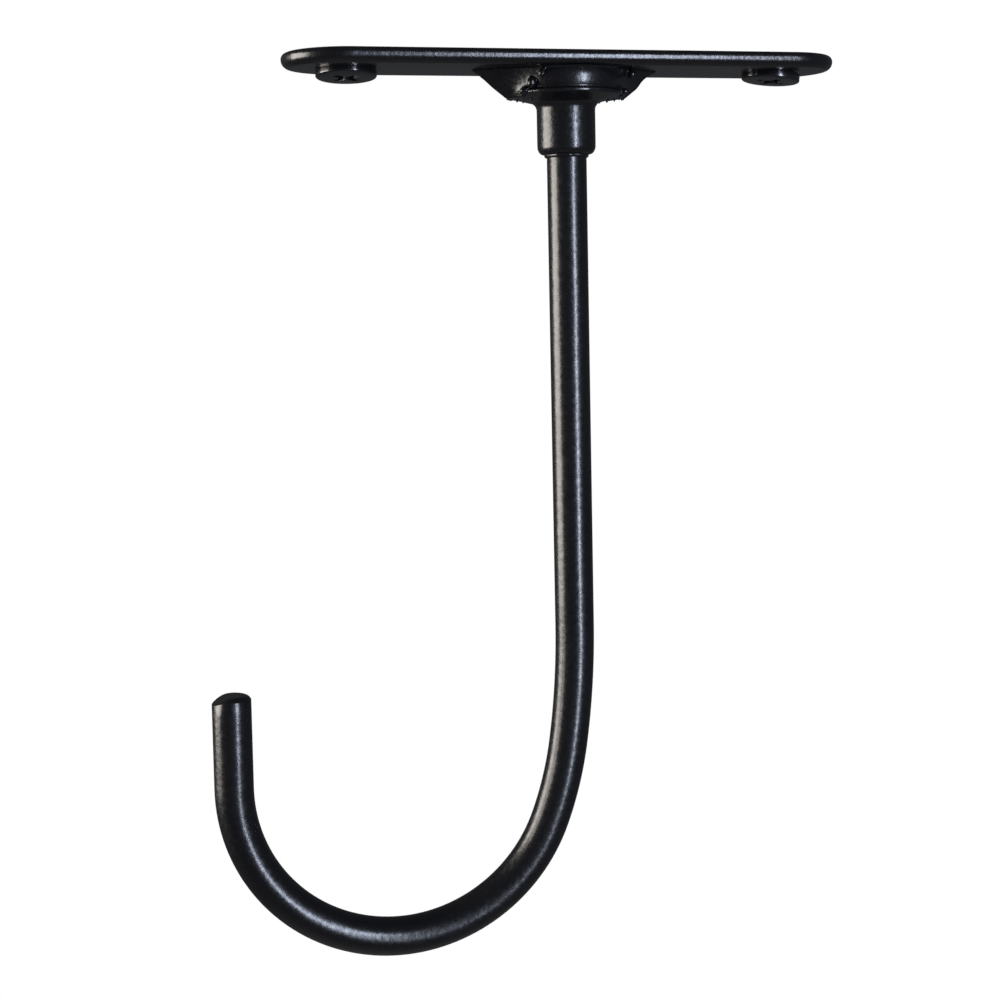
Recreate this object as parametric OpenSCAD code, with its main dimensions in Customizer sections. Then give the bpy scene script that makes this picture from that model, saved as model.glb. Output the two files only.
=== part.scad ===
// Ceiling hook: a J-shaped rod that turns in a cup under an obround plate.
// Frame: origin at the centre of the plate's ceiling face, on the turning axis; +Z up, X along the plate.
// The rod's tip is towards -X. All sizes in mm.

/* [Plate] */
// Length of the plate, end to end
plate_l = 85.5; // [80:1:100]
// Width of the plate
plate_w = 18; // [16:0.5:24]
// Thickness of the plate
plate_t = 2.2; // [1.8:0.1:3]
// Rounding of the plate's edges
plate_round = 0.6; // [0.2:0.1:0.8]

/* [Screws] */
// Distance from the plate's end to a screw's axis
hole_inset = 9.4; // [8:0.1:14]
// Diameter of a screw over its thread
shank_d = 4.5; // [3.5:0.1:5.5]
// Depth of the thread, from its outside in to the plain neck under the head
thread_depth = 0.25; // [0.1:0.05:0.6]
// Diameter of a pan head
head_d = 8.95; // [7:0.05:11]
// Height of a pan head
head_h = 2; // [1.7:0.1:3.6]
// Length of a screw under its head
screw_l = 25; // [20:0.5:40]
// Length of the point at the screw's end
point_l = 5; // [3:0.5:8]
// Width across the cross recess
recess_w = 4.8; // [3.8:0.1:6]
// Width of one arm of the cross recess
recess_arm = 1.1; // [0.8:0.1:1.6]
// Depth of the cross recess
recess_depth = 1.3; // [0.8:0.1:1.5]

/* [Cup] */
// Outer diameter of the cup's wall
cup_d = 16.9; // [15:0.1:20]
// Overhang of the rim beyond the cup's wall
rim_overhang = 0.45; // [0.2:0.05:1.5]
// Depth of the cup, plate to rim
cup_h = 3.85; // [3.6:0.05:8]
// Thickness of the cup's wall
cup_wall = 1.4; // [1:0.1:2]
// Height of the cup's inner floor above the rim's lower edge
floor_rise = 0.3; // [0.2:0.1:0.8]
// Height of the rim band
rim_h = 0.7; // [0.6:0.1:2]
// Depth of the groove above the rim
groove_depth = 0.3; // [0.2:0.05:0.5]
// Width of the groove above the rim
groove_w = 0.3; // [0.2:0.1:0.8]
// Drop of the cup's floor, from the rim to the neck
floor_drop = 1; // [0.6:0.1:2]
// Thickness of the neck's wall round the bore
neck_wall = 1.32; // [0.8:0.02:2]
// Length of the neck below the cup's floor
neck_l = 7.5; // [5:0.1:12]
// Thickness of the lip's wall at the neck's mouth
lip_wall = 0.37; // [0.3:0.01:0.7]
// Height of the lip at the neck's mouth
lip_h = 0.5; // [0.3:0.1:1]
// Radius of the curve between floor and neck
neck_fillet = 1.2; // [0.5:0.1:2]
// Rounding of the rim's and the neck's lower edges
edge_round = 0.3; // [0.2:0.05:0.3]

/* [Gussets] */
// Reach of a gusset along the plate, from the axis
gusset_reach = 14.8; // [11:0.1:20]
// Drop of a gusset's lower corner below the rim
gusset_drop = 0.3; // [0.1:0.1:0.8]
// Reach of a gusset's lower corner beyond the rim
gusset_foot = 0.45; // [0.2:0.05:2]
// Width of a gusset's outer edge
gusset_edge = 0.8; // [0.4:0.1:2]

/* [Hook] */
// Diameter of the rod
rod_d = 6; // [4:0.5:7]
// Length of the straight shank, plate to first bend
shaft_l = 84.3; // [60:0.1:140]
// Centreline radius of the first, easy bend
ease_r = 125; // [100:1:150]
// Angle of the first bend
ease_a = 8.5; // [4:0.5:12]
// Centreline radius of the second bend
shoulder_r = 55; // [40:1:70]
// Angle of the second bend
shoulder_a = 13; // [6:0.5:30]
// Centreline radius of the round of the hook
bight_r = 25.4; // [20:0.1:32]
// Angle of the round of the hook
bight_a = 159; // [130:0.5:165]
// Length of the straight leg at the tip
tip_l = 14.1; // [6:0.1:30]
// Rounding of the tip's end
tip_round = 1.2; // [0.5:0.1:2]

/* [Swivel] */
// Height of the upset head
upset_h = 1.6; // [1:0.1:2]
// Thickness of the thrust washer
washer_t = 0.6; // [0.4:0.1:0.8]

/* [Fits] */
// Radial running clearance between the rod and the neck
running_fit = 0.08; // [0.02:0.01:0.1]
// Radial gap between the rod's upset head and the cup's inner wall
upset_gap = 1.25; // [0.5:0.05:2]
// Radial gap between the washer and the cup's inner wall
washer_gap = 0.3; // [0.1:0.05:0.6]
// Radial gap between the washer and the neck's bore
washer_bore_gap = 0.2; // [0.1:0.05:0.5]
// Radial clearance of a screw in its hole
screw_fit = 0.35; // [0.2:0.05:0.6]
// Play along the axis between the rod's head and the washer
end_play = 0.15; // [0.1:0.05:0.4]
// Gap between a gusset and the cup it is pressed round
gusset_fit = 0.05; // [0.02:0.01:0.1]

/* [Hidden] */
$fn = 64;
// heights of the faces, all below the ceiling face
under_z = -plate_t;
rim_z = under_z - cup_h;
neck_top_z = rim_z - floor_drop;
neck_z = neck_top_z - neck_l;
floor_in_z = rim_z + floor_rise;
// radii that follow from the fits
rod_r = rod_d / 2;
bore_r = rod_r + running_fit;
chamber_r = cup_d / 2 - cup_wall;
rim_r = cup_d / 2 + rim_overhang;
neck_r = bore_r + neck_wall;
lip_r = bore_r + lip_wall;
upset_r = chamber_r - upset_gap;
// the screws stand the same distance in from each end of the plate
hole_x = plate_l / 2 - hole_inset;
// a screw's plain neck is as long as the plate is thick
plain_l = plate_t;
plain_r = shank_d / 2 - thread_depth;
hole_r = shank_d / 2 + screw_fit;
// the upset head turns on the washer, which lies on the cup's floor
head_z = floor_in_z + washer_t + end_play;
// overlap and step in radius between one length of the rod and the next
lap = 0.2;
seam = 0.015;
// slope of the cup's floor, and the tangent length of the curve into the neck
floor_a = atan(floor_drop / (rim_r - neck_r));
fillet_l = neck_fillet / tan((90 + floor_a) / 2);
// sphere that gives a pan head its dome
dome_h = head_h / 2;
dome_r = (pow(head_d / 2, 2) + pow(dome_h, 2)) / (2 * dome_h);
// where the gusset's flat sides meet the cup's wall, seen from below
touch_a = acos((cup_d / 2) / gusset_reach);
touch = [cup_d / 2 * cos(touch_a), cup_d / 2 * sin(touch_a)];
rim_touch = rim_r * [cos(30), sin(30)];
finish = [0.07, 0.07, 0.08];

// position and heading along the rod: [x, z, degrees turned from straight down towards -X]
function turned(p, r, a) = [
    p[0] - r * cos(p[2]) + r * cos(p[2] + a),
    p[1] + r * sin(p[2]) - r * sin(p[2] + a),
    p[2] + a
];

// the rod's path, bend by bend
shaft_end = [0, under_z - shaft_l, 0];
ease_end = turned(shaft_end, ease_r, ease_a);
shoulder_end = turned(ease_end, shoulder_r, shoulder_a);
bight_end = turned(shoulder_end, bight_r, bight_a);

// one bend of the rod, from p round through the angle a
// It starts a lap inside the length before it and is finer by its number of seams, so the two join cleanly.
module bend(p, r, a, seams) {
    back = lap / r * 180 / PI;
    translate([p[0] - r * cos(p[2]), 0, p[1] + r * sin(p[2])])
        rotate([90, 0, 0])
            rotate([0, 0, -(p[2] + a)])
                rotate_extrude(angle = a + back)
                    translate([r, 0]) circle(r = rod_r - seams * seam);
}

// half of a round bar's end, with its edge rounded
module end_profile(r, l, f) {
    square([r - f, l]);
    square([r, l - f]);
    translate([r - f, l - f]) intersection() {
        circle(r = f);
        square([f, f]);
    }
}

// one side of the plate's cross-section, with its outer corners rounded
module plate_side() {
    w = plate_w / 2;
    f = plate_round;
    translate([0, -plate_t]) square([w - f, plate_t]);
    translate([w - f, -plate_t + f]) square([f, plate_t - 2 * f]);
    translate([w - f, -f]) intersection() { circle(r = f); square([f, f]); }
    translate([w - f, -plate_t + f]) intersection() { circle(r = f); translate([0, -f]) square([f, f]); }
}

// the plate: an obround with rounded edges and two plain screw holes
module mounting_plate() {
    straight = plate_l - plate_w;
    color(finish) difference() {
        union() {
            translate([-straight / 2, 0, 0]) rotate([90, 0, 90]) linear_extrude(height = straight) {
                plate_side();
                mirror([1, 0]) plate_side();
            }
            for (side = [-1, 1])
                translate([side * straight / 2, 0, 0]) rotate([0, 0, -90 * side])
                    rotate_extrude(angle = 180) plate_side();
        }
        for (side = [-1, 1])
            translate([side * hole_x, 0, -plate_t - 1]) cylinder(r = hole_r, h = plate_t + 2);
    }
}

// the curve between the cup's floor and the neck, as a web less a circle
module neck_curve() {
    top = [neck_r, neck_top_z];
    centre = [neck_r + neck_fillet, neck_top_z - fillet_l];
    difference() {
        polygon([[top[0] - 0.5, top[1] + 0.5], [top[0] - 0.5, centre[1]], centre,
                 top + fillet_l * [cos(floor_a), sin(floor_a)], top + fillet_l * [cos(floor_a), sin(floor_a)] + [0, 0.4]]);
        translate(centre) circle(r = neck_fillet);
    }
}

// the cup: wall, groove, rim and floor, drawn down into the neck that guides the rod
module swivel_cup() {
    edge = edge_round;
    color(finish) rotate_extrude() difference() {
        union() {
            translate([0, rim_z + 0.1]) square([cup_d / 2, cup_h - 0.1]);
            translate([0, rim_z + edge]) square([rim_r, rim_h - edge]);
            translate([0, neck_top_z]) square([rim_r - edge, floor_drop + rim_h]);
            translate([rim_r - edge, rim_z + edge]) circle(r = edge);
            translate([0, neck_z]) square([neck_r - edge, neck_l + 1]);
            translate([0, neck_z + edge]) square([neck_r, neck_l + 1 - edge]);
            translate([neck_r - edge, neck_z + edge]) circle(r = edge);
            neck_curve();
            translate([0, neck_z - lip_h]) square([lip_r, lip_h + 1]);
        }
        polygon([[neck_r + fillet_l, neck_top_z - 1],
                 [neck_r + fillet_l, neck_top_z + (fillet_l) * tan(floor_a)],
                 [rim_r, rim_z], [rim_r + 2, rim_z - 1]]);
        translate([cup_d / 2 - groove_depth, rim_z + rim_h]) square([groove_depth + 1, groove_w]);
        translate([0, floor_in_z]) square([chamber_r, cup_h + 4]);
        translate([0, neck_z - lip_h - 1]) square([bore_r, neck_l + 4]);
    }
}

// what a gusset is hollowed by: the cup's outside, larger by the fit
module cup_outside() {
    g = gusset_fit;
    rotate_extrude() polygon([
        [0, 1], [cup_d / 2 + g, 1], [cup_d / 2 + g, rim_z + rim_h + g], [rim_r + g, rim_z + rim_h + g],
        [rim_r + g, rim_z - g], [neck_r + g, neck_top_z - g], [neck_r + g, neck_z], [0, neck_z]
    ]);
}

// one pressed gusset on the +X side: a wedge from the plate down past the rim, hollowed to fit the cup
module gusset() {
    half = gusset_edge / 2;
    tip = rim_r + gusset_foot;
    low_z = rim_z - gusset_drop;
    color(finish) difference() {
        hull() {
            translate([0, 0, under_z - 0.01]) linear_extrude(height = 0.01)
                polygon([[gusset_reach, -half], [gusset_reach, half], touch, [touch[0], -touch[1]]]);
            translate([0, 0, low_z]) linear_extrude(height = 0.01)
                polygon([[tip, -half], [tip, half], rim_touch, [rim_touch[0], -rim_touch[1]]]);
        }
        cup_outside();
    }
}

module gusset_right() {
    gusset();
}

module gusset_left() {
    rotate([0, 0, 180]) gusset();
}

// the flat washer on the cup's floor that the rod's head turns on
module thrust_washer() {
    color([0.6, 0.6, 0.58]) translate([0, 0, floor_in_z]) difference() {
        cylinder(r = chamber_r - washer_gap, h = washer_t);
        translate([0, 0, -1]) cylinder(r = bore_r + washer_bore_gap, h = washer_t + 2);
    }
}

// the rod: upset head, straight shaft, three bends and the leg at the tip
module hook_rod() {
    color(finish) union() {
        translate([0, 0, head_z]) cylinder(r = upset_r, h = upset_h);
        translate([0, 0, shaft_end[1]]) cylinder(r = rod_r, h = head_z - shaft_end[1]);
        bend(shaft_end, ease_r, ease_a, 1);
        bend(ease_end, shoulder_r, shoulder_a, 2);
        bend(shoulder_end, bight_r, bight_a, 3);
        translate([bight_end[0], 0, bight_end[1]]) rotate([0, 180 + bight_end[2], 0])
            translate([0, 0, -lap]) rotate_extrude() end_profile(rod_r - 4 * seam, tip_l + lap, tip_round);
    }
}

// a pan-head screw with a cross recess, pointing up through the plate
module screw() {
    color([0.05, 0.05, 0.055]) difference() {
        union() {
            intersection() {
                translate([0, 0, -head_h]) cylinder(d = head_d, h = head_h);
                translate([0, 0, dome_r - head_h]) sphere(r = dome_r);
            }
            cylinder(r = plain_r, h = plain_l);
            translate([0, 0, plain_l]) cylinder(d = shank_d, h = screw_l - point_l - plain_l);
            translate([0, 0, screw_l - point_l]) cylinder(d1 = shank_d, d2 = 0.6, h = point_l);
        }
        for (a = [0, 90])
            rotate([0, 0, a]) translate([-recess_w / 2, -recess_arm / 2, -head_h - 1])
                cube([recess_w, recess_arm, recess_depth + 1]);
    }
}

module screw_left() {
    translate([-hole_x, 0, under_z]) rotate([0, 0, 35]) screw();
}

module screw_right() {
    translate([hole_x, 0, under_z]) rotate([0, 0, 10]) screw();
}

mounting_plate();
swivel_cup();
gusset_left();
gusset_right();
thrust_washer();
hook_rod();
screw_left();
screw_right();
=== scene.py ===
"""A black swivel ceiling hook: a J-shaped rod that turns in a cup under an obround plate.

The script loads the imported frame, builds the finished pieces over it in metres, and sets the stage,
lamps and camera.
"""

import logging
import math
from collections.abc import Callable, Sequence
from dataclasses import dataclass
from enum import Enum

import bmesh
import bpy
from mathutils import Matrix, Vector


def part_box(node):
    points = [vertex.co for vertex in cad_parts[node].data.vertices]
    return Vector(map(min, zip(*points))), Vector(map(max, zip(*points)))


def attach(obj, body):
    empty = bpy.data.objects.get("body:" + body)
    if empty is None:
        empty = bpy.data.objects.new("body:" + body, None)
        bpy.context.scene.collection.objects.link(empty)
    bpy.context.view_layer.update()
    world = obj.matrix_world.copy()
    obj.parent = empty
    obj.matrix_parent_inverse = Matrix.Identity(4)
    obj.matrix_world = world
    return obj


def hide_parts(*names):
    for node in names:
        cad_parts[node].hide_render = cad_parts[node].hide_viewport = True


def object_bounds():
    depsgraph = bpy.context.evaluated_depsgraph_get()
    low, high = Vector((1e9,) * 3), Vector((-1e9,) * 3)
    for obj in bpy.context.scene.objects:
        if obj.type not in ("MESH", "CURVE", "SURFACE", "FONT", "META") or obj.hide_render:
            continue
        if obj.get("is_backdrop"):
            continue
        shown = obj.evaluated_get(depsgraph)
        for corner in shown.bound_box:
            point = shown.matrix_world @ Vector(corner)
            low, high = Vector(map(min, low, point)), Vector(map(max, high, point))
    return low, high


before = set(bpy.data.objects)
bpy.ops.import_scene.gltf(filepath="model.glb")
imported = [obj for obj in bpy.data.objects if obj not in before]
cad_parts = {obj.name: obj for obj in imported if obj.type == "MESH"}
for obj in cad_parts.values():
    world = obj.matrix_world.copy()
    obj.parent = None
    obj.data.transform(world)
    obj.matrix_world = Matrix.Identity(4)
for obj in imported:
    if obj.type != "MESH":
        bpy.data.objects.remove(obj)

LOG = logging.getLogger("ceiling_hook")
MM = 0.001
TAU = 2 * math.pi

Point = tuple[float, float, float]
Pair = tuple[float, float]
Socket = bpy.types.NodeSocket
Mesh = bpy.types.Mesh


class Body(str, Enum):
    """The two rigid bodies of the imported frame."""

    BRACKET = "bracket"
    HOOK = "hook"


class Slot(str, Enum):
    """The record's material slots."""

    BRACKET = "painted_bracket"
    ROD = "painted_rod"
    SCREW = "black_screw"
    WASHER = "bright_washer"


Finished = dict[Slot, bpy.types.Material]


# ---------- colours and nodes


def linear(code: str) -> tuple[float, float, float, float]:
    """Turns a colour code into linear light.

    Args:
        code: an sRGB colour such as "#1b1b1e".

    Returns:
        Linear red, green, blue and an alpha of 1.
    """
    parts = [int(code.lstrip("#")[i : i + 2], 16) / 255 for i in (0, 2, 4)]
    red, green, blue = (p / 12.92 if p <= 0.04045 else ((p + 0.055) / 1.055) ** 2.4 for p in parts)
    return red, green, blue, 1.0


def add_node(
    tree: bpy.types.NodeTree,
    kind: str,
    values: dict[str | int, object] | None = None,
    settings: dict[str, object] | None = None,
) -> bpy.types.bpy_prop_collection:
    """Adds one node to a tree.

    Args:
        tree: the material's, world's or geometry's node tree.
        kind: the node's type name.
        values: what feeds each input: an output socket, or a plain value.
        settings: the node's own properties, by name.

    Returns:
        The new node's output sockets.
    """
    node = tree.nodes.new(kind)
    for name, value in (settings or {}).items():
        setattr(node, name, value)
    for name, source in (values or {}).items():
        if isinstance(source, Socket):
            tree.links.new(source, node.inputs[name])
        else:
            node.inputs[name].default_value = source
    return node.outputs


def blank_tree(owner: bpy.types.Material | bpy.types.World) -> bpy.types.NodeTree:
    """Gives a material or a world an empty node tree.

    Args:
        owner: the material or world.

    Returns:
        Its node tree.
    """
    owner.use_nodes = True
    owner.node_tree.nodes.clear()
    return owner.node_tree


# ---------- finishes


class Brush:
    """Lays the shader nodes of one material."""

    def __init__(self, material: bpy.types.Material) -> None:
        """Starts with an empty tree.

        Args:
            material: the material to fill.
        """
        self.tree = blank_tree(material)
        self.place = add_node(self.tree, "ShaderNodeTexCoord")["Object"]

    def noise(self, cell_mm: float, detail: float, rough: float) -> Socket:
        """Adds soft noise.

        Args:
            cell_mm: the size of its cells, in millimetres.
            detail: how many finer layers it has.
            rough: how strong the finer layers are.

        Returns:
            The noise, from 0 to 1.
        """
        values = {"Scale": 1 / (cell_mm * MM), "Detail": detail, "Roughness": rough}
        return add_node(self.tree, "ShaderNodeTexNoise", {"Vector": self.place, **values})["Fac"]

    def blend(self, share: Socket, colours: tuple[str, str]) -> Socket:
        """Mixes two colours.

        Args:
            share: how much of the second colour there is, from 0 to 1.
            colours: the two colour codes.

        Returns:
            The mixed colour.
        """
        values = {0: share, 6: linear(colours[0]), 7: linear(colours[1])}
        return add_node(self.tree, "ShaderNodeMix", values, {"data_type": "RGBA"})[2]

    def relief(
        self, height: Socket, strength: float, depth_mm: float, under: Socket | None = None
    ) -> Socket:
        """Adds fine relief.

        Args:
            height: how high the relief stands, from 0 to 1.
            strength: how much of it shows.
            depth_mm: how deep it is, in millimetres.
            under: another relief that it lies on.

        Returns:
            The direction the surface faces.
        """
        values = {"Strength": strength, "Distance": depth_mm * MM, "Height": height}
        if under is not None:
            values["Normal"] = under
        return add_node(self.tree, "ShaderNodeBump", values)["Normal"]

    def remap(self, value: Socket, old: Pair, new: Pair) -> Socket:
        """Moves a value from one range to another.

        Args:
            value: the value.
            old: the range's ends before.
            new: the range's ends after.

        Returns:
            The value in its new range.
        """
        ends = dict(zip(("From Min", "From Max", "To Min", "To Max"), (*old, *new), strict=True))
        return add_node(self.tree, "ShaderNodeMapRange", {"Value": value, **ends})["Result"]


@dataclass(frozen=True)
class Finish:
    """The finish of one slot, made of shader nodes."""

    name: str

    def build(self) -> bpy.types.Material:
        """Makes the material.

        Returns:
            A material that reads Object coordinates.
        """
        material = bpy.data.materials.new(self.name)
        brush = Brush(material)
        shader = add_node(brush.tree, "ShaderNodeBsdfPrincipled", self.inputs(brush))
        add_node(brush.tree, "ShaderNodeOutputMaterial", {"Surface": shader["BSDF"]})
        return material

    def inputs(self, brush: Brush) -> dict[str, object]:
        """What the main shader reads.

        Args:
            brush: lays the material's nodes.

        Returns:
            A value or socket for each of the shader's inputs that is used.
        """
        raise NotImplementedError


@dataclass(frozen=True)
class PowderCoat(Finish):
    """Satin black powder coat: a dielectric film with a fine orange-peel grain."""

    grain_mm: float
    grain: float
    roughness: float = 0.27
    colours: tuple[str, str] = ("#0b0b0d", "#131316")
    cloud_mm: float = 7.0
    wave_mm: float = 3.2
    wave: float = 0.06

    def inputs(self, brush: Brush) -> dict[str, object]:
        """What the main shader reads. Args and Returns are as in Finish."""
        # pigment varies a little where the powder lay thicker
        cloud = brush.noise(self.cloud_mm, 4.0, 0.6)
        # orange peel: round cells of cured powder
        cells = add_node(
            brush.tree,
            "ShaderNodeTexVoronoi",
            {"Vector": brush.place, "Scale": 1 / (self.grain_mm * MM), "Smoothness": 0.8},
            {"feature": "SMOOTH_F1"},
        )
        fine = brush.noise(0.8 * self.grain_mm, 2.0, 0.45)
        values = {0: cells["Distance"], 1: 0.6, 2: fine}
        height = add_node(brush.tree, "ShaderNodeMath", values, {"operation": "MULTIPLY_ADD"})
        peel = brush.relief(height["Value"], self.grain, 0.05)
        swell = brush.noise(self.wave_mm, 1.0, 0.4)
        # gloss is patchy at the scale of the peel
        gloss = brush.remap(fine, (0.3, 0.7), (self.roughness - 0.04, self.roughness + 0.05))
        return {
            "Base Color": brush.blend(cloud, self.colours),
            "Roughness": gloss,
            "IOR": 1.5,
            "Normal": brush.relief(swell, self.wave, 0.5, peel),
        }


@dataclass(frozen=True)
class BlackOxide(Finish):
    """Glossy black screw steel: an oiled oxide film, a little lighter in random patches, with fine tool
    marks in its relief.
    """

    colours: tuple[str, str] = ("#0a0a0c", "#17171a")
    roughness: float = 0.18
    patch_mm: float = 2.5
    mark_mm: float = 0.5

    def inputs(self, brush: Brush) -> dict[str, object]:
        """What the main shader reads. Args and Returns are as in Finish."""
        patch = brush.noise(self.patch_mm, 5.0, 0.6)
        marks = brush.noise(self.mark_mm, 4.0, 0.6)
        return {
            "Base Color": brush.blend(patch, self.colours),
            "Roughness": brush.remap(patch, (0.3, 0.7), (self.roughness - 0.04, self.roughness + 0.08)),
            "IOR": 1.6,
            "Normal": brush.relief(marks, 0.12, 0.04),
        }


@dataclass(frozen=True)
class TurnedSteel(Finish):
    """Plain steel washer with fine round marks from stamping and wear."""

    colour: str = "#b4b2ac"
    roughness: float = 0.32
    mark_mm: float = 2.2

    def inputs(self, brush: Brush) -> dict[str, object]:
        """What the main shader reads. Args and Returns are as in Finish."""
        rings = add_node(
            brush.tree,
            "ShaderNodeTexWave",
            {"Vector": brush.place, "Scale": 1 / (self.mark_mm * MM), "Distortion": 1.5, "Detail": 3.0},
            {"wave_type": "RINGS", "rings_direction": "Z"},
        )["Fac"]
        return {
            "Base Color": linear(self.colour),
            "Metallic": 1.0,
            "Roughness": brush.remap(rings, (0.0, 1.0), (self.roughness - 0.08, self.roughness + 0.1)),
            "Normal": brush.relief(rings, 0.15, 0.02),
        }


@dataclass(frozen=True)
class Finishes:
    """Every finish of the hook, built once."""

    # the pressed bracket's coat
    bracket: PowderCoat = PowderCoat(
        "satin black powder coat, bracket", grain_mm=0.65, grain=0.4, roughness=0.26
    )
    # the rod's coat has a slightly coarser grain
    rod: PowderCoat = PowderCoat("satin black powder coat, rod", grain_mm=0.9, grain=0.42)
    # the screws come black-oxided and are glossier
    screw: BlackOxide = BlackOxide("black oxide screw steel")
    # the washer is hidden in the cup and stays bright
    washer: TurnedSteel = TurnedSteel("bright steel washer")

    def build(self) -> Finished:
        """Makes all the materials.

        Returns:
            A material for each of the record's slots.
        """
        return {
            Slot.BRACKET: self.bracket.build(),
            Slot.ROD: self.rod.build(),
            Slot.SCREW: self.screw.build(),
            Slot.WASHER: self.washer.build(),
        }


# ---------- meshes


def ring_mesh(name: str, rings: Sequence[Sequence[Point]], cap: bool = True) -> Mesh:
    """Joins rings of points into a closed skin.

    Args:
        name: the mesh's name.
        rings: loops with the same number of points, in metres, one after another.
        cap: closes the two ends with a face; otherwise the last ring joins the first.

    Returns:
        A mesh whose faces point outwards.
    """
    mesh = bpy.data.meshes.new(name)
    bm = bmesh.new()
    loops = [[bm.verts.new(p) for p in ring] for ring in rings]
    count = len(loops[0])
    pairs = list(zip(loops, loops[1:], strict=False)) + ([] if cap else [(loops[-1], loops[0])])
    for low, high in pairs:
        for i in range(count):
            j = (i + 1) % count
            bm.faces.new((low[i], low[j], high[j], high[i]))
    if cap:
        bm.faces.new(list(reversed(loops[0])))
        bm.faces.new(loops[-1])
    bmesh.ops.recalc_face_normals(bm, faces=bm.faces)
    bm.to_mesh(mesh)
    bm.free()
    return mesh


def smooth(mesh: Mesh, sharp_deg: float) -> Mesh:
    """Shades a mesh smooth except at its sharp edges.

    Args:
        mesh: the mesh to shade.
        sharp_deg: edges that turn more than this stay sharp.

    Returns:
        The same mesh.
    """
    mesh.shade_smooth()
    mesh.set_sharp_from_angle(angle=math.radians(sharp_deg))
    return mesh


def circle(radius: float, z: float, count: int, centre: Pair = (0.0, 0.0)) -> list[Point]:
    """Points round a vertical line. Sizes are in millimetres.

    Args:
        radius: how far the points are from the line.
        z: their height.
        count: how many points go round.
        centre: x and y of the line.

    Returns:
        Points in metres.
    """
    turns = [TAU * i / count for i in range(count)]
    return [
        ((centre[0] + radius * math.cos(a)) * MM, (centre[1] + radius * math.sin(a)) * MM, z * MM)
        for a in turns
    ]


def lathe(
    name: str,
    profile: Sequence[Pair],
    steps: int,
    wobble: Callable[[float, float, float], float] = lambda r, z, angle: 0.0,
) -> Mesh:
    """Turns a closed outline about the vertical axis.

    Args:
        name: the mesh's name.
        profile: (radius, height) points in millimetres, round a closed outline off the axis.
        steps: how many points go round.
        wobble: how far the skin moves out, in millimetres, at a radius, height and angle.

    Returns:
        A closed ring-shaped mesh.
    """
    turns = [TAU * i / steps for i in range(steps)]
    rings = []
    for r, z in profile:
        spokes = [(r + wobble(r, z, a), a) for a in turns]
        rings.append([(out * math.cos(a) * MM, out * math.sin(a) * MM, z * MM) for out, a in spokes])
    return ring_mesh(name, rings, cap=False)


def arc(centre: Pair, radius: float, start: float, end: float, steps: int) -> list[Pair]:
    """Points along an arc.

    Args:
        centre: the arc's centre.
        radius: its radius.
        start: the first angle, in degrees.
        end: the last angle, in degrees.
        steps: how many pieces it has.

    Returns:
        steps + 1 points.
    """
    turns = [math.radians(start + (end - start) * i / steps) for i in range(steps + 1)]
    return [(centre[0] + radius * math.cos(a), centre[1] + radius * math.sin(a)) for a in turns]


def add_object(name: str, data: bpy.types.ID) -> bpy.types.Object:
    """Adds an object to the scene.

    Args:
        name: the object's name.
        data: its mesh, curve, lamp or camera.

    Returns:
        The new object.
    """
    item = bpy.data.objects.new(name, data)
    bpy.context.scene.collection.objects.link(item)
    return item


def settle(item: bpy.types.Object) -> Mesh:
    """Takes the mesh that an object's modifiers make, and removes the object.

    Args:
        item: a helper object with modifiers.

    Returns:
        A new plain mesh.
    """
    bpy.context.view_layer.update()
    graph = bpy.context.evaluated_depsgraph_get()
    mesh = bpy.data.meshes.new_from_object(item.evaluated_get(graph))
    bpy.data.objects.remove(item)
    return mesh


def cut(mesh: Mesh, cutters: Sequence[Mesh]) -> Mesh:
    """Cuts closed shapes out of a mesh.

    Args:
        mesh: the mesh to cut.
        cutters: closed meshes that leave their shape in it.

    Returns:
        A new plain mesh.
    """
    target = add_object("being_cut", mesh)
    tools = [add_object("cutter", cutter) for cutter in cutters]
    for tool in tools:
        step = target.modifiers.new("cut", "BOOLEAN")
        step.operation, step.solver, step.object = "DIFFERENCE", "EXACT", tool
    out = settle(target)
    for tool in tools:
        bpy.data.objects.remove(tool)
    return out


def melt(meshes: Sequence[Mesh], voxel: float, soften: int) -> Mesh:
    """Joins closed meshes into one skin, with soft edges as under thick paint.

    Args:
        meshes: closed meshes that overlap.
        voxel: the new skin's grain, in metres.
        soften: how many times the skin is smoothed.

    Returns:
        A new plain mesh.
    """
    bm = bmesh.new()
    for mesh in meshes:
        bm.from_mesh(mesh)
    joined = bpy.data.meshes.new("joined")
    bm.to_mesh(joined)
    bm.free()
    item = add_object("being_melted", joined)
    step = item.modifiers.new("remesh", "REMESH")
    step.mode, step.voxel_size, step.adaptivity = "VOXEL", voxel, 0.0
    calm = item.modifiers.new("soften", "SMOOTH")
    calm.factor, calm.iterations = 0.5, soften
    return settle(item)


def place_piece(
    name: str,
    mesh: Mesh,
    finishes: Finished,
    slot: Slot,
    nodes: Sequence[str] = (),
    body: Body = Body.BRACKET,
) -> None:
    """Adds a finished piece to the scene and ties it to the frame.

    Args:
        name: the piece's name.
        mesh: its mesh, already in the row frame.
        finishes: the material of each slot.
        slot: the record's slot it takes its finish from.
        nodes: the frame's nodes it stands for.
        body: the rigid body it rides on.
    """
    mesh.materials.clear()
    mesh.materials.append(finishes[slot])
    piece = add_object(name, mesh)
    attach(piece, body.value)
    if nodes:
        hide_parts(*nodes)


# ---------- the bracket


def quarter(steps: int) -> list[float]:
    """Angles over a quarter turn.

    Args:
        steps: how many pieces it has.

    Returns:
        steps + 1 angles in radians.
    """
    return [math.pi / 2 * i / steps for i in range(steps + 1)]


def middle_x(node: str) -> float:
    """The middle of a node's box along X.

    Args:
        node: the node's name in the frame.

    Returns:
        The place in millimetres.
    """
    low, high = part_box(node)
    return (low[0] + high[0]) / 2 / MM


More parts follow.
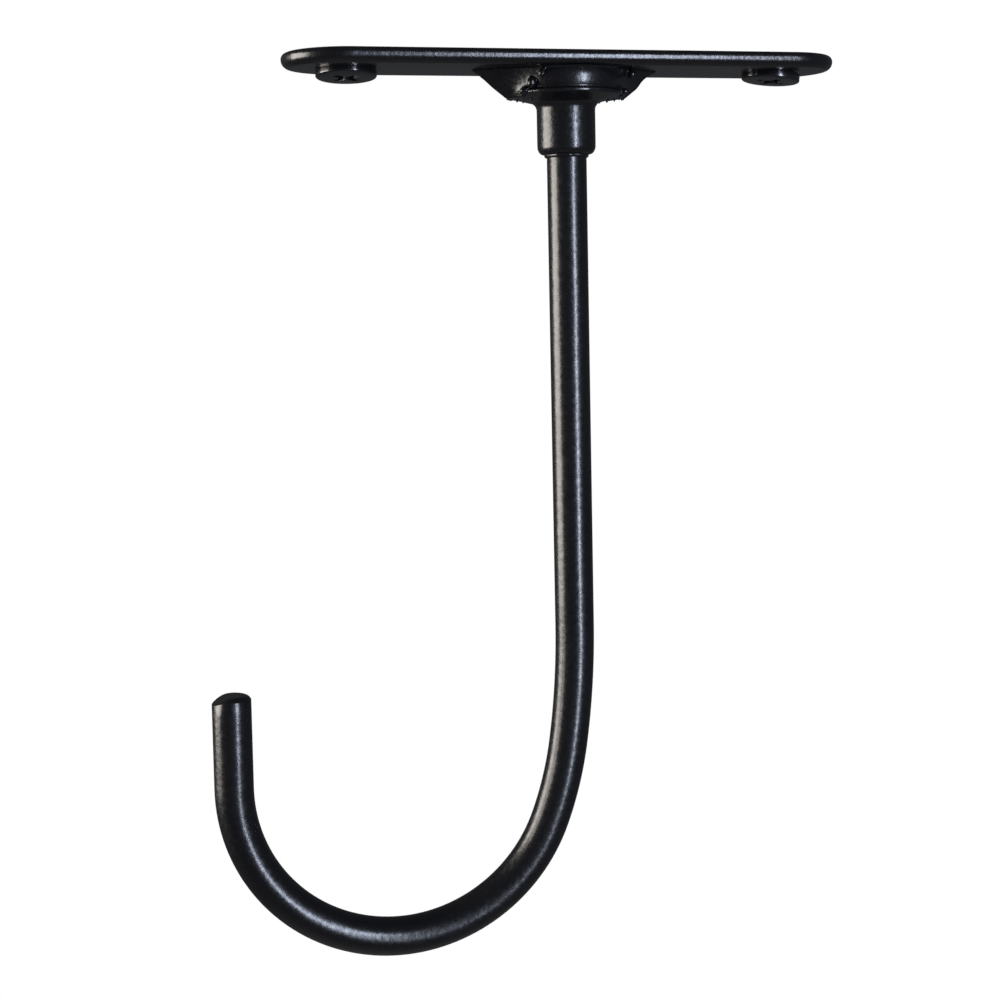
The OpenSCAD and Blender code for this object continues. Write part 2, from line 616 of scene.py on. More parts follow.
def heights(node: str) -> Pair:
    """A node's lowest and highest point.

    Args:
        node: the node's name in the frame.

    Returns:
        Both in millimetres, to the nearest micrometre.
    """
    low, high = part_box(node)
    return round(low[2] / MM, 3), round(high[2] / MM, 3)


@dataclass
class Plate:
    """The obround plate that lies against the ceiling.

    Sizes are in millimetres.
    """

    length: float
    width: float
    thick: float
    hole_spacing: float
    hole_radius: float = 2.6
    top_round: float = 0.85
    low_round: float = 1.25

    @classmethod
    def from_frame(cls) -> "Plate":
        """Reads the plate's size from the frame.

        Returns:
            A plate of the frame's own size.
        """
        low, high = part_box("mounting_plate")
        size = [(b - a) / MM for a, b in zip(low, high, strict=True)]
        return cls(*size, hole_spacing=middle_x("screw_right") - middle_x("screw_left"))

    def outline(self, inset: float, z: float, steps: int = 48) -> list[Point]:
        """The obround outline, drawn in by an inset, at a height.

        Args:
            inset: how far inside the plate's edge, in millimetres.
            z: the height in millimetres.
            steps: how many pieces each rounded end has.

        Returns:
            Points in metres.
        """
        half = (self.length - self.width) / 2
        r = self.width / 2 - inset
        ends = arc((half, 0), r, -90, 90, steps) + arc((-half, 0), r, 90, 270, steps)
        return [(x * MM, y * MM, z * MM) for x, y in ends]

    def build(self) -> Mesh:
        """Makes the plate with rounded edges and two holes.

        Returns:
            The plate's mesh.
        """
        mesh = ring_mesh("plate_skin", [self.outline(inset, z) for inset, z in self.edge()])
        cutters = []
        for side in (-1, 1):
            centre = (side * self.hole_spacing / 2, 0.0)
            # the cutters stand 1 mm out of both faces
            loops = [circle(self.hole_radius, z, 64, centre) for z in (-self.thick - 1, 1)]
            cutters.append(ring_mesh("hole", loops))
        return smooth(cut(mesh, cutters), 30)

    def edge(self) -> list[Pair]:
        """The rounded edge, from the top face down.

        Returns:
            (inset, height) pairs in millimetres.
        """
        t, u, full = self.top_round, self.low_round, self.thick
        top = [(t - t * math.sin(a), -t + t * math.cos(a)) for a in quarter(6)]
        low = [(u - u * math.cos(a), -full + u - u * math.sin(a)) for a in quarter(10)]
        return top + low

    def dress(self, finishes: Finished) -> None:
        """Adds the plate to the scene.

        Args:
            finishes: the material of each slot.
        """
        place_piece("ceiling_plate", self.build(), finishes, Slot.BRACKET, ["mounting_plate"])


# the groove between the cup's wall and its rim: (distance inside the wall's radius, height)
GROOVE: tuple[Pair, ...] = ((0.24, -5.0), (0.3, -5.12), (0.27, -5.24), (0.12, -5.34), (-0.08, -5.4))


@dataclass
class Cup:
    """The cup under the plate, with its groove, rim, floor, neck and lip.

    Sizes are in millimetres, and heights are from the ceiling face.
    """

    top: float = heights("swivel_cup")[1]
    wall_radius: float = 8.45
    rim_radius: float = 8.9
    rim_low: float = -6.05
    neck_top: float = -7.05
    neck_low: float = -14.55
    lip_low: float = heights("swivel_cup")[0]
    neck_radius: float = 4.4
    bore: float = 3.08
    chamber: float = 7.05
    floor_in: float = -5.75
    fillet: float = 1.25

    def profile(self) -> list[Pair]:
        """The closed outline that is turned, from the plate down the outside and back up the inside.

        Returns:
            (radius, height) pairs in millimetres.
        """
        return self.wall() + self.rim_and_floor() + self.neck() + self.inside()

    def slope(self) -> float:
        """The cone floor's angle, in radians from level."""
        return math.atan2(self.rim_low - self.neck_top, self.rim_radius - self.neck_radius)

    def wall(self) -> list[Pair]:
        """The wall, which swells between the plate and the groove.

        Returns:
            (radius, height) pairs in millimetres.
        """
        wall, swell = self.wall_radius, 0.22
        start = self.top - 0.35
        out = [(wall + 0.1, self.top), (wall - 0.12, self.top - 0.14), (wall - swell, start)]
        for i in range(1, 12):
            s = i / 12
            out.append((wall - swell + swell * math.sin(math.pi * s) ** 0.8, start - 2.35 * s))
        return out + [(wall - inset, z) for inset, z in GROOVE]

    def rim_and_floor(self) -> list[Pair]:
        """The rolled rim, the cone floor and the fillet into the neck.

        Returns:
            (radius, height) pairs in millimetres.
        """
        rim, low, tilt = self.rim_radius, self.rim_low, self.slope()
        reach = self.fillet / math.tan((math.pi / 2 + tilt) / 2)
        hub = (self.neck_radius + self.fillet, self.neck_top - reach)
        out = arc((rim - 0.28, low + 0.36), 0.28, 78, 0, 8)
        out += arc((rim - 0.3, low + 0.3), 0.3, 0, -90 + math.degrees(tilt), 10)[1:]
        out += [(rim - 1.5, low - 0.27), (rim - 2.4, low - 0.5)]
        return out + arc(hub, self.fillet, 90 + math.degrees(tilt), 180, 12)

    def neck(self) -> list[Pair]:
        """The neck, drawn in at its mouth, and the lip round the rod.

        Returns:
            (radius, height) pairs in millimetres.
        """
        neck, end, lip = self.neck_radius, self.neck_low, self.lip_low
        turns = [math.radians(7.5 * i) for i in range(1, 12)]
        mouth = [(neck - 0.84 * (1 - math.cos(q)), end + 1.3 * (1 - math.sin(q))) for q in turns]
        shoulder = [(3.52, end + 0.03), (3.43, end - 0.08), (3.42, end - 0.22)]
        return [(neck, -10.5), (neck, -12.5), *mouth, *shoulder, (3.36, lip + 0.12), (3.26, lip + 0.02)]

    def inside(self) -> list[Pair]:
        """The bore and the chamber, from the lip up to the plate.

        Returns:
            (radius, height) pairs in millimetres.
        """
        bore, chamber, lip, floor = self.bore, self.chamber, self.lip_low, self.floor_in
        low = [(bore + 0.05, lip), (bore, lip + 0.08), (bore, floor - 0.1), (bore + 0.1, floor)]
        return [*low, (chamber, floor), (chamber, self.top)]

    def dent(self, r: float, z: float, angle: float) -> float:
        """How far pressing and thick paint have moved the skin.

        Args:
            r: radius in millimetres.
            z: height in millimetres.
            angle: angle round the axis.

        Returns:
            A small outward distance in millimetres.
        """
        if z < self.neck_low and r > self.bore + 0.1:
            # paint has gathered in beads at the neck's mouth
            return 0.05 * (math.sin(6 * angle + 0.4) + 0.7 * math.sin(11 * angle + 1.9) - 0.7)
        if r < self.chamber + 0.2 or z > self.top - 0.2:
            return 0.0
        lumps = 0.5 * math.sin(7 * angle + 0.8) + 0.3 * math.sin(17 * angle + 2.1)
        lumps += 0.2 * math.sin(29 * angle)
        band = math.exp(-(((z - self.rim_low) / 0.8) ** 2))
        return 0.05 * band * (lumps - 1.0)

    def dress(self, finishes: Finished) -> None:
        """Adds the cup to the scene.

        Args:
            finishes: the material of each slot.
        """
        mesh = smooth(lathe("swivel_cup_skin", self.profile(), 192, self.dent), 46)
        place_piece("swivel_cup_body", mesh, finishes, Slot.BRACKET, ["swivel_cup"])


@dataclass(frozen=True)
class Lump:
    """A lump of weld metal: its centre and radius in millimetres, and its height as a share of that."""

    x: float
    y: float
    z: float
    radius: float
    tall: float

    def rings(self) -> list[list[Point]]:
        """The lump's skin.

        Returns:
            Rings of points in metres, from its top down.
        """
        rings = []
        for i in range(1, 16):
            a = math.pi * i / 16
            z = self.z + self.radius * self.tall * math.cos(a)
            rings.append(circle(self.radius * math.sin(a), z, 20, (self.x, self.y)))
        return rings


# the lumps in each wing's creases, by the wing's side
WELD_METAL: dict[int, tuple[Lump, ...]] = {
    -1: (
        Lump(-5.6, -6.35, -3.2, 0.55, 1.3),
        Lump(-6.9, -5.35, -4.5, 0.7, 1.3),
        Lump(-7.7, -4.3, -5.6, 0.8, 0.7),
        Lump(-6.0, 6.0, -4.0, 0.8, 1.4),
    ),
    1: (
        Lump(9.3, -3.6, -3.0, 0.6, 1.1),
        Lump(7.9, -4.2, -5.6, 0.7, 0.7),
        Lump(6.2, 5.9, -3.8, 0.8, 1.3),
    ),
}


@dataclass
class Gusset:
    """A pressed wing from the plate down past the cup's rim, with weld metal in its creases.

    side is +1 or -1 along X. Sizes are in millimetres.
    """

    side: int
    flare: float
    lumps: tuple[Lump, ...]
    reach: float = 14.7
    foot: float = 9.3
    top: float = heights("gusset_left")[1] - 0.01
    low: float = heights("gusset_left")[0] + 0.02
    nose: float = 0.5
    pinch: float = 0.5
    root: float = 8.35
    root_step: float = 0.45
    least_spread: float = 26.0
    steps: int = 26

    def ridge(self, t: float) -> float:
        """How far the wing's edge stands from the axis.

        Args:
            t: 0 at the plate and 1 at the lower corner.

        Returns:
            The distance in millimetres.
        """
        straight = self.reach + (self.foot - self.reach) * t
        return straight - self.flare * math.sin(math.pi * min(1.0, t * 1.6)) * (1 - t)

    def section(self, t: float) -> list[Pair]:
        """The wing's outline in plan at one height.

        Args:
            t: 0 at the plate and 1 at the lower corner.

        Returns:
            (x, y) points in millimetres: the front face, the nose, the back face and the hidden back.
        """
        reach = self.ridge(t)
        # the wing's root follows the cup's wall, and steps out at the rim
        radius = self.root + self.root_step * max(0.0, (t - 0.6) / 0.4)
        spread = math.acos(min(0.995, radius / max(reach, radius + 0.06))) * (1 - 0.1 * t)
        spread = max(spread, math.radians(self.least_spread))
        crease = (radius * math.cos(spread), radius * math.sin(spread))
        nose = min(self.nose, max(0.12, reach - crease[0]))
        tip = (reach - nose, nose * 0.9)
        drop = crease[1] - tip[1]
        face = []
        for i in range(self.steps + 1):
            s = i / self.steps
            x = crease[0] + (tip[0] - crease[0]) * s
            y = crease[1] + (tip[1] - crease[1]) * s
            hollow = self.pinch * math.sin(math.pi * s) ** 1.3 * (1 - 0.6 * t) * drop / 6.5
            face.append((x, max(tip[1], y - hollow)))
        round_nose = arc((reach - nose, 0), nose, 62, -62, 8)
        # the back is hidden inside the cup's wall
        deep = radius - 0.8
        turns = [-spread + 2 * spread * i / 20 for i in range(21)]
        back = [(deep * math.cos(a), deep * math.sin(a)) for a in turns]
        return face + round_nose + [(x, -y) for x, y in reversed(face)] + back

    def build(self) -> Mesh:
        """Makes the wing and melts its weld metal into it.

        Returns:
            A closed mesh.
        """
        side, rings = self.side, []
        for i in range(25):
            t = i / 24
            z = self.top + (self.low - self.top) * t
            rings.append([(side * x * MM, side * y * MM, z * MM) for x, y in self.section(t)])
        skins = [ring_mesh("gusset_skin", rings)]
        skins += [ring_mesh("weld_lump", lump.rings()) for lump in self.lumps]
        return smooth(melt(skins, 0.13 * MM, 9), 60)

    def creases(self) -> list[list[Point]]:
        """The wing's two lower edges, where paint has dripped.

        Returns:
            For each edge, points in metres from its corner inwards along the cup's floor.
        """
        lines = []
        for turn in (1, -1):
            line = []
            for i in range(10):
                share = i / 9
                out = self.foot - 0.3 - 2.6 * share
                a = 0.3 * share + 0.04
                x, y = self.side * out * math.cos(a), self.side * turn * out * math.sin(a)
                line.append((x * MM, y * MM, (self.low - 0.02 - 0.3 * share) * MM))
            lines.append(line)
        return lines

    def dress(self, finishes: Finished) -> None:
        """Adds the wing to the scene.

        Args:
            finishes: the material of each slot.
        """
        word = "right" if self.side > 0 else "left"
        nodes = [f"gusset_{word}"]
        place_piece(f"gusset_{word}_wing", self.build(), finishes, Slot.BRACKET, nodes)


@dataclass
class PaintDrips:
    """Small drips of paint strung along the wings' lower edges, laid by one geometry-node tree."""

    spacing: float = 1.15
    radius: float = 0.15
    seed: int = 3

    def tree(self, material: bpy.types.Material) -> bpy.types.GeometryNodeTree:
        """Makes the node tree that strings beads along curves.

        Args:
            material: the beads' finish.

        Returns:
            The node tree, with inputs for spacing, radius and seed.
        """
        tree = bpy.data.node_groups.new("paint drips", "GeometryNodeTree")
        face = tree.interface
        face.new_socket("Geometry", in_out="INPUT", socket_type="NodeSocketGeometry")
        for name, kind in (("Spacing", "Float"), ("Radius", "Float"), ("Seed", "Int")):
            face.new_socket(name, in_out="INPUT", socket_type=f"NodeSocket{kind}")
        face.new_socket("Geometry", in_out="OUTPUT", socket_type="NodeSocketGeometry")
        given = add_node(tree, "NodeGroupInput")
        values = {"Curve": given["Geometry"], "Length": given["Spacing"]}
        points = add_node(tree, "GeometryNodeCurveToPoints", values, {"mode": "LENGTH"})
        values = {"Radius": given["Radius"], "Subdivisions": 4}
        ball = add_node(tree, "GeometryNodeMeshIcoSphere", values)
        values = {0: (0.75, 0.75, 0.7), 1: (1.25, 1.25, 1.2), "Seed": given["Seed"]}
        size = add_node(tree, "FunctionNodeRandomValue", values, {"data_type": "FLOAT_VECTOR"})
        values = {
            "Points": points["Points"],
            "Instance": ball["Mesh"],
            "Rotation": points["Rotation"],
            "Scale": size[0],
        }
        beads = add_node(tree, "GeometryNodeInstanceOnPoints", values)["Instances"]
        real = add_node(tree, "GeometryNodeRealizeInstances", {"Geometry": beads})["Geometry"]
        painted = add_node(tree, "GeometryNodeSetMaterial", {"Geometry": real, "Material": material})
        add_node(tree, "NodeGroupOutput", {"Geometry": painted["Geometry"]})
        return tree

    def dress(self, lines: Sequence[Sequence[Point]], finishes: Finished) -> None:
        """Strings beads along each line and adds them to the scene.

        Args:
            lines: creases, as points in metres.
            finishes: the material of each slot.
        """
        tree = self.tree(finishes[Slot.BRACKET])
        socket = {s.name: s.identifier for s in tree.interface.items_tree if s.in_out == "INPUT"}
        for number, line in enumerate(lines):
            curve = bpy.data.curves.new("crease", "CURVE")
            curve.dimensions = "3D"
            spline = curve.splines.new("POLY")
            spline.points.add(len(line) - 1)
            for point, place in zip(spline.points, line, strict=True):
                point.co = (*place, 1.0)
            guide = add_object("crease_guide", curve)
            step = guide.modifiers.new("beads", "NODES")
            step.node_group = tree
            step[socket["Spacing"]] = self.spacing * MM
            step[socket["Radius"]] = self.radius * MM
            step[socket["Seed"]] = self.seed + number
            mesh = settle(guide)
            mesh.shade_smooth()
            place_piece(f"paint_drips_{number + 1}", mesh, finishes, Slot.BRACKET)


# ---------- the rod


@dataclass
class Bend:
    """One bend of the rod: its centreline radius in millimetres and its angle in degrees."""

    radius: float
    angle: float


# the hook's three bends, from the shaft to the leg
BENDS = (Bend(125, 8.5), Bend(55, 13), Bend(25.4, 159))
# heights at which the straight shaft has a ring, between its head and its first bend
SHAFT_HEIGHTS = (-10.0, -16.0, -30.0, -50.0, -70.0)
# how far in each ring of the cut end lies, as shares of the rod's radius
END_SHARES = (1.0, 0.97, 0.92, 0.86, 0.79, 0.71, 0.62, 0.52, 0.41, 0.29, 0.16, 0.04)


@dataclass
class Rod:
    """The J-shaped rod, swept along a straight shaft, three bends and a short leg.

    Sizes are in millimetres, places are (x, z) in the hook's plane. thinned is how much the radius
    shrinks towards the cut end, cap is how far that end stands past the last full ring.
    """

    radius: float = 3.0
    thinned: float = 0.08
    top: float = heights("hook_rod")[1]
    head_low: float = -5.0
    head_radius: float = 5.8
    shaft_low: float = -86.5
    leg: float = 14.1
    cap: float = 2.6
    end_round: float = 1.35
    bevel_slope: float = 0.62
    bevel_start: float = 0.55
    around: int = 96

    def path(self) -> list[tuple[float, float, float]]:
        """Points along the rod's centreline below its head.

        Returns:
            (x, z, heading) with the heading in radians from straight down towards -X.
        """
        x, z, turn = 0.0, self.shaft_low, 0.0
        out = [(0.0, h, 0.0) for h in (self.head_low, *SHAFT_HEIGHTS, self.shaft_low)]
        for bend in BENDS:
            cx = x - bend.radius * math.cos(turn)
            cz = z + bend.radius * math.sin(turn)
            # about one ring per millimetre
            steps = max(6, round(bend.radius * math.radians(bend.angle)))
            for i in range(1, steps + 1):
                a = turn + math.radians(bend.angle) * i / steps
                out.append((cx + bend.radius * math.cos(a), cz - bend.radius * math.sin(a), a))
            x, z, turn = out[-1]
        for i in range(1, 8):
            run = (self.leg - self.cap) * i / 7
            out.append((x - run * math.sin(turn), z - run * math.cos(turn), turn))
        return out

    def round_off(self, u: float, v: float) -> float:
        """How far the cut end drops below its highest point.

        Args:
            u: distance from the centreline towards the outside of the hook, in millimetres.
            v: distance to the side, in millimetres.

        Returns:
            The drop in millimetres: an edge rounded by paint, and a bevel filed on the outside.
        """
        r = math.hypot(u, v)
        edge = self.end_round
        over = max(0.0, r - (self.radius - edge))
        drop = edge - math.sqrt(max(0.0, edge * edge - min(over, edge) ** 2))
        bevel = self.bevel_slope * (u - self.bevel_start)
        soft = 0.25
        blended = math.exp(drop / soft) + math.exp(bevel / soft) + 1.0
        return soft * math.log(blended) - soft * math.log(3.0)

    def build(self) -> Mesh:
        """Makes the rod: upset head, shaft, bends, leg and cut end in one skin.

        Returns:
            A closed mesh.
        """
        rings: list[list[Point]] = []
        for r, z in (
            (self.head_radius - 0.5, self.top),
            (self.head_radius - 0.12, self.top - 0.14),
            (self.head_radius, self.top - 0.5),
            (self.head_radius, self.head_low + 0.3),
            (self.head_radius - 0.2, self.head_low),
            (self.radius + 0.25, self.head_low),
        ):
            rings.append(self.loop(0.0, z, 0.0, r))
        path = self.path()
        for i, (x, z, turn) in enumerate(path):
            r = self.radius - self.thinned * i / len(path)
            rings.append(self.loop(x, z if i else z - 0.2, turn, r))
        x, z, turn = path[-1]
        r = self.radius - self.thinned
        for share in END_SHARES:
            rings.append(self.loop(x, z, turn, r * share, end=True))
        return smooth(ring_mesh("hook_rod_skin", rings), 50)

    def loop(self, x: float, z: float, turn: float, r: float, end: bool = False) -> list[Point]:
        """One ring of points round the rod.

        Args:
            x: the ring's centre.
            z: the ring's centre.
            turn: the heading in radians.
            r: the ring's radius in millimetres.
            end: places the ring on the cut end instead of square across the rod.

        Returns:
            Points in metres.
        """
        ring = []
        for i in range(self.around):
            a = TAU * i / self.around
            u, v = -r * math.cos(a), r * math.sin(a)
            ahead = self.cap - self.round_off(-u, v) if end else 0.0
            # u runs towards the outside of the first bend, square to the heading
            px = x + u * -math.cos(turn) - ahead * math.sin(turn)
            pz = z + u * math.sin(turn) - ahead * math.cos(turn)
            ring.append((px * MM, v * MM, pz * MM))
        return ring

    def dress(self, finishes: Finished) -> None:
        """Adds the rod to the scene.

        Args:
            finishes: the material of each slot.
        """
        place_piece("hook_rod_j", self.build(), finishes, Slot.ROD, ["hook_rod"], Body.HOOK)


@dataclass
class Washer:
    """The thrust washer on the cup's floor. Sizes are in millimetres."""

    outer: float = 6.75
    inner: float = 3.28
    low: float = heights("thrust_washer")[0]
    thick: float = 0.6

    def dress(self, finishes: Finished) -> None:
        """Adds the washer to the scene.

        Args:
            finishes: the material of each slot.
        """
        high, soft = self.low + self.thick, 0.12
        profile = [
            (self.inner, self.low + soft),
            (self.inner + soft, self.low),
            (self.outer - soft, self.low),
            (self.outer, self.low + soft),
            (self.outer, high - soft),
            (self.outer - soft, high),
            (self.inner + soft, high),
            (self.inner, high - soft),
        ]
        mesh = smooth(lathe("thrust_washer_skin", profile, 96), 60)
        place_piece("swivel_washer", mesh, finishes, Slot.WASHER, ["thrust_washer"])


# ---------- the screws


@dataclass
class Screw:
    """A pan-head screw with a cross recess and a turned thread.

    Sizes are in millimetres. lean is a small tilt of the head's skin about X and Y, in degrees, as a
    screw driven slightly off square has. The shank stays upright.
    """

    x: float
    turn_deg: float
    word: str
    lean: Pair
    seat: float = heights("mounting_plate")[0]
    head_radius: float = 4.46
    head_high: float = 1.4
    plain_radius: float = 2.0
    plain: float = 2.2
    core: float = 1.6
    thread: float = 2.24
    pitch: float = 1.85
    crest: float = 0.2
    run_in: float = 0.8
    length: float = 25.0
    point: float = 5.0

    def head(self) -> Mesh:
        """Makes the domed head with its recess.

        Returns:
            The head's mesh in the row frame.
        """
        r, h = self.head_radius, self.head_high
        outline = [(0.02, 0.0), (r - 0.25, 0.0), (r - 0.06, -0.1), (r, -0.25)]
        # a pan head: straight side, small round, nearly flat face with a slight crown
        outline += arc((r - 0.3, -h + 0.4), 0.3, 0, -84, 8)
        face = (r - 0.8, r - 1.4, r - 2.2, 1.2, 0.4, 0.02)
        outline += [(q, -h + 0.1 * (q / r) ** 2) for q in face]
        rings = [circle(q, z, 96) for q, z in outline]
        mesh = cut(ring_mesh(f"screw_{self.word}_head", rings), self.recess())
        mesh.transform(self.pose())
        return smooth(mesh, 32)

    def recess(self) -> list[Mesh]:
        """Makes the tools that cut the cross recess.

        Returns:
            Two tapering bars and a cone.
        """
        h = self.head_high
        shapes = []
        for a in (0.0, math.pi / 2):
            ca, sa = math.cos(a), math.sin(a)
            loops = []
            for length, width, z in ((2.6, 0.62, -h - 0.5), (2.35, 0.54, -h), (1.2, 0.42, -h + 1.1)):
                corners = [(length, -width), (length, width), (-length, width), (-length, -width)]
                turned = [(u * ca - v * sa, u * sa + v * ca) for u, v in corners]
                loops.append([(x * MM, y * MM, z * MM) for x, y in turned])
            shapes.append(ring_mesh("recess_bar", loops))
        cone = ((1.35, -h - 0.5), (1.2, -h), (0.8, -h + 1.1), (0.1, -h + 1.25))
        shapes.append(ring_mesh("recess_cone", [circle(r, z, 24) for r, z in cone]))
        return shapes

    def pose(self) -> Matrix:
        """Where the screw sits.

        Returns:
            The move from the screw's own frame to the row frame.
        """
        about_x, about_y, about_z = (
            Matrix.Rotation(math.radians(angle), 4, axis)
            for angle, axis in zip((*self.lean, self.turn_deg), "XYZ", strict=True)
        )
        return Matrix.Translation(Vector((self.x, 0, self.seat)) * MM) @ about_x @ about_y @ about_z

    def shank(self) -> Mesh:
        """Makes the plain neck and the turned thread up to the point.

        Returns:
            The shank's mesh in the row frame.
        """
        around, step = 48, 0.12
        rings = []
        z = -0.05
        while z < self.length:
            ring = []
            # the point narrows to a fiftieth of the radius
            left = (self.length - z) / self.point
            taper = min(1.0, max(0.02, left)) if z > self.length - self.point else 1.0
            # the thread rises out of the plain part
            start = min(1.0, max(0.0, (z - self.plain) / self.run_in))
            for i in range(around):
                a = TAU * i / around
                phase = ((z / self.pitch) - i / around) % 1.0
                ridge = max(0.0, 1.0 - abs(phase - 0.5) / self.crest)
                r = self.plain_radius
                if z >= self.plain:
                    r = self.core + (self.plain_radius - self.core) * max(0.0, 1 - start)
                    r = max(r, self.core + (self.thread - self.core) * ridge * start)
                r *= taper
                ring.append((r * math.cos(a) * MM, r * math.sin(a) * MM, z * MM))
            rings.append(ring)
            z += step
        mesh = ring_mesh(f"screw_{self.word}_shank", rings)
        mesh.transform(Matrix.Translation(Vector((self.x, 0, self.seat)) * MM))
        return smooth(mesh, 45)

    def dress(self, finishes: Finished) -> None:
        """Adds the head and the shank to the scene.

        Args:
            finishes: the material of each slot.
        """
        node = f"screw_{self.word}"
        place_piece(f"{node}_pan", self.head(), finishes, Slot.SCREW, [node])
        place_piece(f"{node}_thread", self.shank(), finishes, Slot.SCREW)


# ---------- stage, lamps and camera


@dataclass(frozen=True)
class SoftBox:
    """A square lamp aimed at a point. Sizes are in metres and power in watts."""

    name: str
    place: Point
    aim: Point
    size: Pair
    power: float
    colour: str

    def build(self) -> None:
        """Adds the lamp."""
        lamp = bpy.data.lights.new(self.name, "AREA")
        lamp.shape = "RECTANGLE"
        lamp.size, lamp.size_y = self.size
        lamp.energy = self.power
        lamp.color = linear(self.colour)[:3]
        item = add_object(self.name, lamp)
        item.location = self.place
        ahead = Vector(self.aim) - Vector(self.place)
        item.rotation_euler = ahead.to_track_quat("-Z", "Y").to_euler()


@dataclass(frozen=True)
class Viewpoint:
    """Where the camera stands and how it is turned. Places in metres, angles in radians.

    focal and picture are the focal length and the picture's width, in one and the same unit.
    """

    place: Point = (-0.08528, -0.26687, -0.0332)
    yaw: float = 0.2697
    pitch: float = -0.1195
    roll: float = -0.0217
    focal: float = 1829.9
    picture: float = 1001.0
    sensor_mm: float = 36.0

    def build(self) -> None:
        """Adds the camera and makes it the scene's own."""
        camera = bpy.data.cameras.new("camera")
        camera.sensor_width = self.sensor_mm
        camera.lens = self.focal * self.sensor_mm / self.picture
        camera.clip_start, camera.clip_end = 0.01, 50.0
        camera.dof.use_dof = False
        item = add_object("camera", camera)
        cy, sy = math.cos(self.yaw), math.sin(self.yaw)
        ahead = Vector((sy * math.cos(self.pitch), cy * math.cos(self.pitch), math.sin(self.pitch)))
        right = Vector((cy, -sy, 0.0))
        up = right.cross(ahead)
        cr, sr = math.cos(self.roll), math.sin(self.roll)
        across, above = cr * right + sr * up, -sr * right + cr * up
        turned = Matrix((across, above, -ahead)).transposed().to_4x4()
        item.matrix_world = Matrix.Translation(self.place) @ turned
        bpy.context.scene.camera = item


WHITE = (1.0, 1.0, 1.0, 1.0)

LAMPS = (
    SoftBox("left box", (-0.84, 0.15, 0.02), (0, 0, -0.06), (0.6, 0.6), 12.5, "#fff8f0"),
    SoftBox("right strip", (0.24, -0.65, -0.05), (0, 0, -0.05), (0.09, 0.5), 5.0, "#dfe9ff"),
    SoftBox("low strip", (0.0, -0.65, -0.27), (0, 0, -0.03), (0.7, 0.04), 0.03, "#f2f5ff"),
)


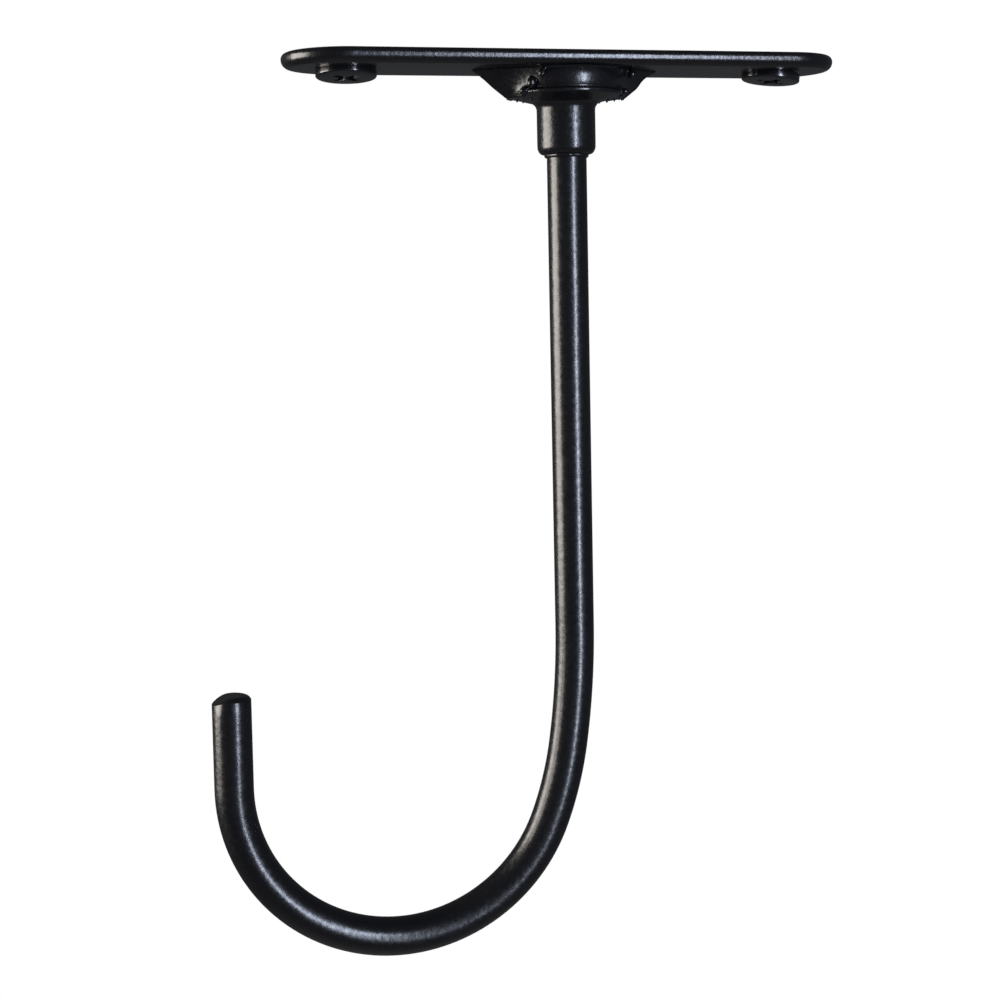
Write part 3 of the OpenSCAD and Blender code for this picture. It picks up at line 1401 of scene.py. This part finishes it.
@dataclass
class Stage:
    """A pale floor far below, a ceiling that is white from below, and a dim, even sky.

    Places and half widths are in metres. The ceiling hangs just above the plate's upper face.
    """

    floor_z: float = -1.6
    floor_half: float = 4.0
    ceiling_z: float = 0.0002
    ceiling_half: float = 0.6
    sky: float = 0.09

    def glow_paint(self, name: str, one_sided: bool) -> bpy.types.Material:
        """Makes a paint that the camera sees as plain white.

        Args:
            name: the material's name.
            one_sided: clear from its back, and clear to every ray but the camera's own.

        Returns:
            The material.
        """
        material = bpy.data.materials.new(name)
        tree = blank_tree(material)
        ray = add_node(tree, "ShaderNodeLightPath")["Is Camera Ray"]
        white = add_node(tree, "ShaderNodeEmission", {"Color": WHITE, "Strength": 1.0})
        if one_sided:
            rest = add_node(tree, "ShaderNodeBsdfTransparent", {"Color": WHITE})
            values = {0: ray, 1: add_node(tree, "ShaderNodeNewGeometry")["Backfacing"]}
            settings = {"operation": "SUBTRACT", "use_clamp": True}
            shown = add_node(tree, "ShaderNodeMath", values, settings)["Value"]
        else:
            rest = add_node(tree, "ShaderNodeBsdfDiffuse", {"Color": linear("#d8d8d6")})
            shown = ray
        values = {0: shown, 1: rest["BSDF"], 2: white["Emission"]}
        mix = add_node(tree, "ShaderNodeMixShader", values)
        add_node(tree, "ShaderNodeOutputMaterial", {"Surface": mix["Shader"]})
        return material

    def sheet(
        self, name: str, half: float, z: float, up: bool, material: bpy.types.Material
    ) -> None:
        """Adds a flat stage piece.

        Args:
            name: its name.
            half: half its width, in metres.
            z: its height, in metres.
            up: True if its face is towards +Z.
            material: its finish.
        """
        corners = [(-half, -half, z), (half, -half, z), (half, half, z), (-half, half, z)]
        mesh = bpy.data.meshes.new(name)
        mesh.from_pydata(corners, [], [(0, 1, 2, 3) if up else (3, 2, 1, 0)])
        mesh.materials.append(material)
        item = add_object(name, mesh)
        item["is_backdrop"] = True

    def world(self) -> None:
        """Sets a dim, even sky that the camera sees as white."""
        world = bpy.data.worlds.new("studio")
        bpy.context.scene.world = world
        tree = blank_tree(world)
        ray = add_node(tree, "ShaderNodeLightPath")["Is Camera Ray"]
        glow = {"Color": linear("#e4e8f2"), "Strength": self.sky}
        dim = add_node(tree, "ShaderNodeBackground", glow)["Background"]
        glow = {"Color": WHITE, "Strength": 1.0}
        white = add_node(tree, "ShaderNodeBackground", glow)["Background"]
        mix = add_node(tree, "ShaderNodeMixShader", {0: ray, 1: dim, 2: white})
        add_node(tree, "ShaderNodeOutputWorld", {"Surface": mix["Shader"]})

    def build(self) -> None:
        """Adds the stage, the lamps and the camera."""
        self.world()
        paint = self.glow_paint("pale floor", False)
        self.sheet("floor", self.floor_half, self.floor_z, True, paint)
        paint = self.glow_paint("white ceiling", True)
        self.sheet("ceiling", self.ceiling_half, self.ceiling_z, False, paint)
        for lamp in LAMPS:
            lamp.build()
        Viewpoint().build()


# ---------- the whole hook


def note_size(data: dict[str, list[list[float]]], name: str) -> None:
    """Adds the shown object's corners to the size notes.

    Args:
        data: the notes.
        name: the key to add.
    """
    low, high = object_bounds()
    data[name] = [[float(v) for v in low], [float(v) for v in high]]


def main() -> None:
    """Builds every piece in order, then the stage."""
    logging.basicConfig(level=logging.INFO, format="%(message)s")
    sizes: dict[str, list[list[float]]] = {}
    note_size(sizes, "cad")
    bpy.context.scene.view_settings.view_transform = "Standard"

    finishes = Finishes().build()
    Plate.from_frame().dress(finishes)
    Cup().dress(finishes)
    lines: list[list[Point]] = []
    for side in (-1, 1):
        wing = Gusset(side, 0.3 if side < 0 else 0.9, WELD_METAL[side])
        wing.dress(finishes)
        lines += wing.creases()
    PaintDrips().dress(lines, finishes)
    Washer().dress(finishes)
    Rod().dress(finishes)
    Screw(middle_x("screw_left"), 35, "left", lean=(-6.0, 1.5)).dress(finishes)
    Screw(middle_x("screw_right"), 10, "right", lean=(-2.0, 6.0)).dress(finishes)
    Stage().build()

    note_size(sizes, "final")


if __name__ == "__main__":
    main()
